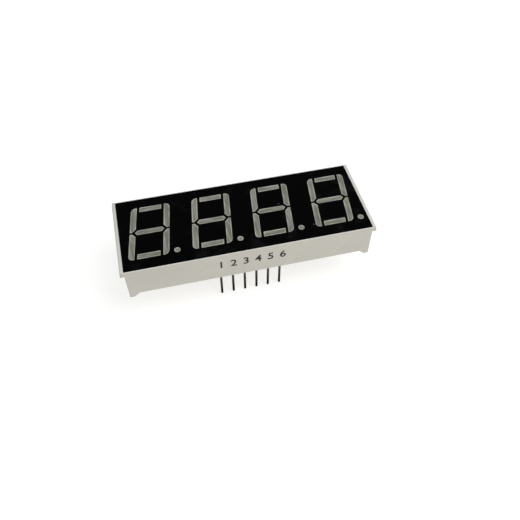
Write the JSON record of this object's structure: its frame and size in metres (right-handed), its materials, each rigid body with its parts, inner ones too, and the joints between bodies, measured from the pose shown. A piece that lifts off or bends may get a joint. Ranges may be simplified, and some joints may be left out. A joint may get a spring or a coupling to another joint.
{
  "type": "seven segment display module",
  "caption": "Long box-shaped numeric display: white reflector case, black face with slanted segment windows and decimal points, end lips, corner feet and rows of round pins.",
  "frame": {"origin": "centre of the seating plane, the plane under the four corner feet, midway between the pin rows", "axes": "+Z towards the display face, +X the way the digits read, along the case, +Y towards the tops of the digits"},
  "size_m": [0.0522, 0.0194, 0.0152],
  "materials": {
    "case": "moulded satin",
    "face_ink": "matt ink",
    "window_epoxy": "grey diffusing epoxy",
    "potting": "clear epoxy",
    "board": "satin laminate",
    "copper": "plain",
    "solder": "dull",
    "pin_metal": "tarnished tin",
    "bond_wire": "bright",
    "light_chip": "crystal"
  },
  "bodies": {
    "root": {"housing": "case", "face_print": "face_ink", "cell_epoxy": "window_epoxy", "back_epoxy": "potting", "circuit_board": "board", "front_copper": "copper", "back_copper": "copper", "solder_front": "solder", "solder_back": "solder", "pin_1": "pin_metal", "pin_2": "pin_metal", "pin_3": "pin_metal", "pin_4": "pin_metal", "pin_5": "pin_metal", "pin_6": "pin_metal", "pin_7": "pin_metal", "pin_8": "pin_metal", "pin_9": "pin_metal", "pin_10": "pin_metal", "pin_11": "pin_metal", "pin_12": "pin_metal", "bond_wires_1": "bond_wire", "bond_wires_2": "bond_wire", "bond_wires_3": "bond_wire", "bond_wires_4": "bond_wire", "chip_1a": "light_chip", "chip_1b": "light_chip", "chip_1c": "light_chip", "chip_1d": "light_chip", "chip_1e": "light_chip", "chip_1f": "light_chip", "chip_1g": "light_chip", "chip_1dp": "light_chip", "chip_2a": "light_chip", "chip_2b": "light_chip", "chip_2c": "light_chip", "chip_2d": "light_chip", "chip_2e": "light_chip", "chip_2f": "light_chip", "chip_2g": "light_chip", "chip_2dp": "light_chip", "chip_3a": "light_chip", "chip_3b": "light_chip", "chip_3c": "light_chip", "chip_3d": "light_chip", "chip_3e": "light_chip", "chip_3f": "light_chip", "chip_3g": "light_chip", "chip_3dp": "light_chip", "chip_4a": "light_chip", "chip_4b": "light_chip", "chip_4c": "light_chip", "chip_4d": "light_chip", "chip_4e": "light_chip", "chip_4f": "light_chip", "chip_4g": "light_chip", "chip_4dp": "light_chip"}
  },
  "joints": []
}
